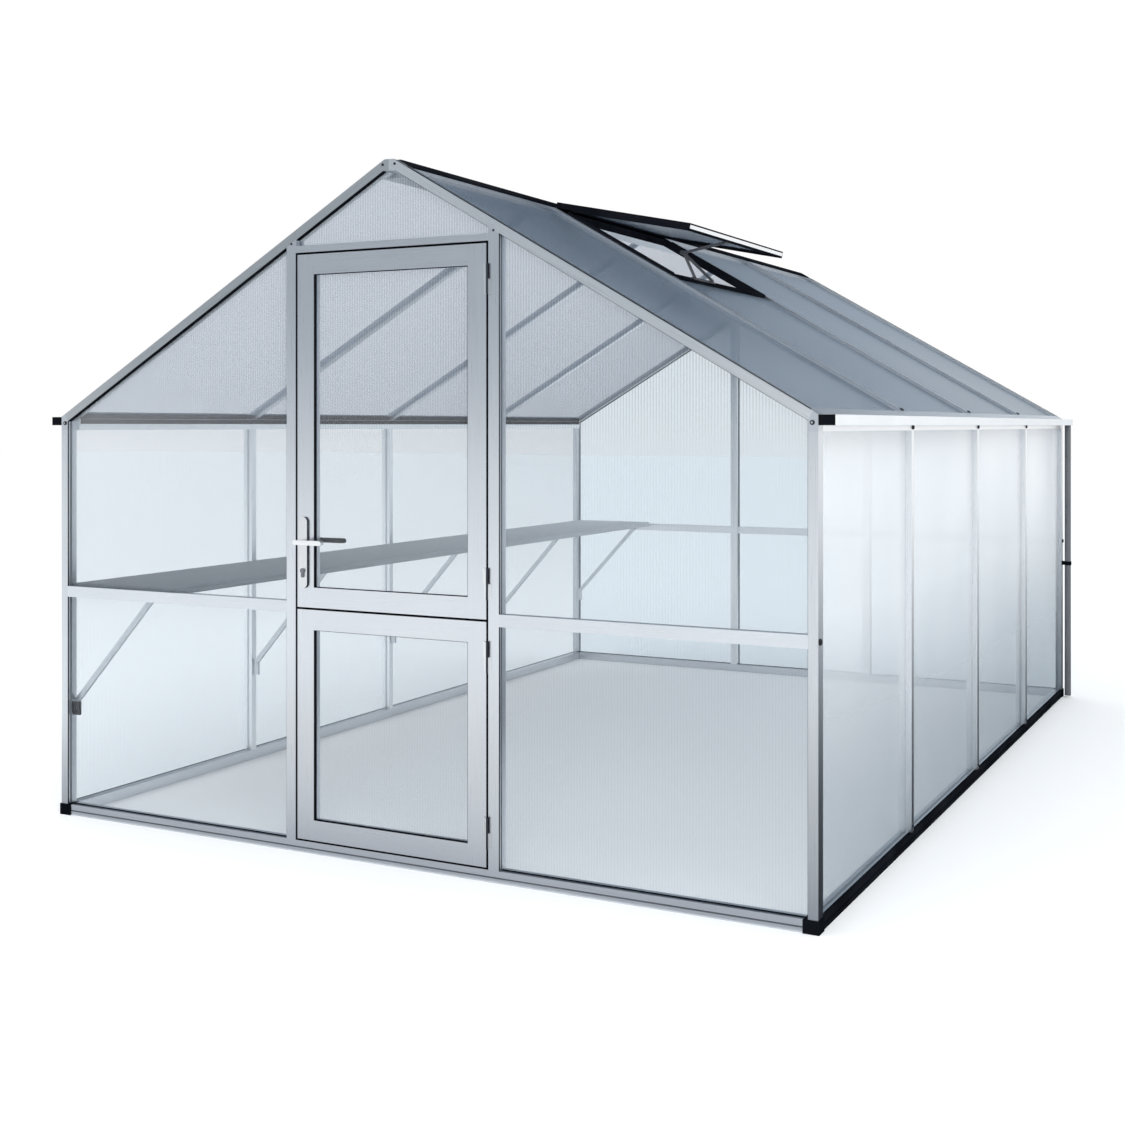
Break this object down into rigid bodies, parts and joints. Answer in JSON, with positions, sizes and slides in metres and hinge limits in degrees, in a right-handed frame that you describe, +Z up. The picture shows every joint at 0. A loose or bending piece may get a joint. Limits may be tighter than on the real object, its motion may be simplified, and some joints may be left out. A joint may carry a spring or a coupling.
{
  "type": "greenhouse with a stable door",
  "caption": "Walk-in gabled greenhouse with an aluminium frame, twin-wall sheets, a stable door, a propped roof vent, gutters with a downpipe and a shelf inside.",
  "frame": {"origin": "On the ground, at the centre of the whole outline, below the ridge.", "axes": "+X is the right-hand side seen from the door, +Y runs along the ridge to the rear wall, +Z is up."},
  "size_m": [3.041, 4.353, 2.347],
  "materials": {
    "mill_aluminium": "satin anodised",
    "black_aluminium": "satin black powder coat",
    "black_plastic": "moulded black",
    "clear_twin_wall": "clear ribbed sheet",
    "roof_twin_wall": "blue-grey ribbed sheet",
    "pipe_grey": "anthracite",
    "shelf_grey": "matt grey",
    "hinge_metal": "dark barrel",
    "handle_steel": "satin"
  },
  "bodies": {
    "greenhouse": {"front_sill": "mill_aluminium", "rear_sill": "mill_aluminium", "corner_posts": "mill_aluminium", "eave_brackets": "mill_aluminium", "eave_beams": "mill_aluminium", "gutters": "mill_aluminium", "ridge_beam": "mill_aluminium", "ridge_brackets": "mill_aluminium", "rafters": "mill_aluminium", "wall_bars": "mill_aluminium", "roof_bars": "mill_aluminium", "front_rails": "mill_aluminium", "rear_rails": "mill_aluminium", "door_jambs": "mill_aluminium", "rear_posts": "mill_aluminium", "door_head": "mill_aluminium", "shelf_braces": "mill_aluminium", "side_sills": "black_aluminium", "ridge_cap": "black_aluminium", "vent_curb": "black_aluminium", "vent_frame": "black_aluminium", "vent_opener": "black_aluminium", "base_corners": "black_plastic", "gutter_caps": "black_plastic", "downpipe_clip": "black_plastic", "front_panels": "clear_twin_wall", "rear_panels": "clear_twin_wall", "left_wall_panels": "clear_twin_wall", "right_wall_panels": "clear_twin_wall", "left_roof_panels": "roof_twin_wall", "right_roof_panels": "roof_twin_wall", "vent_pane": "roof_twin_wall", "downpipe": "pipe_grey", "shelf": "shelf_grey", "jamb_hinges": "hinge_metal"},
    "upper_door": {"upper_door_frame": "mill_aluminium", "upper_door_pane": "clear_twin_wall", "upper_door_hinges": "hinge_metal", "handle_plates": "handle_steel", "lock_cylinders": "handle_steel"},
    "lower_door": {"lower_door_frame": "mill_aluminium", "lower_door_pane": "clear_twin_wall", "lower_door_hinges": "hinge_metal"},
    "lever": {"door_lever": "handle_steel"}
  },
  "joints": [
    {"name": "upper_door_hinge", "type": "hinge", "parent": "greenhouse", "child": "upper_door", "pos_m": [0.3775, -2.1285, 1.4415], "axis": [0, 0, 1], "range_deg": [0, 160]},
    {"name": "lower_door_hinge", "type": "hinge", "parent": "greenhouse", "child": "lower_door", "pos_m": [0.3775, -2.1285, 0.439], "axis": [0, 0, 1], "range_deg": [0, 160]},
    {"name": "lever_turn", "type": "hinge", "parent": "upper_door", "child": "lever", "pos_m": [-0.345, -2.1205, 1.064], "axis": [0, 1, 0], "range_deg": [0, 45], "stiffness_Nm_per_rad": 1, "springref_deg": -45.84}
  ]
}
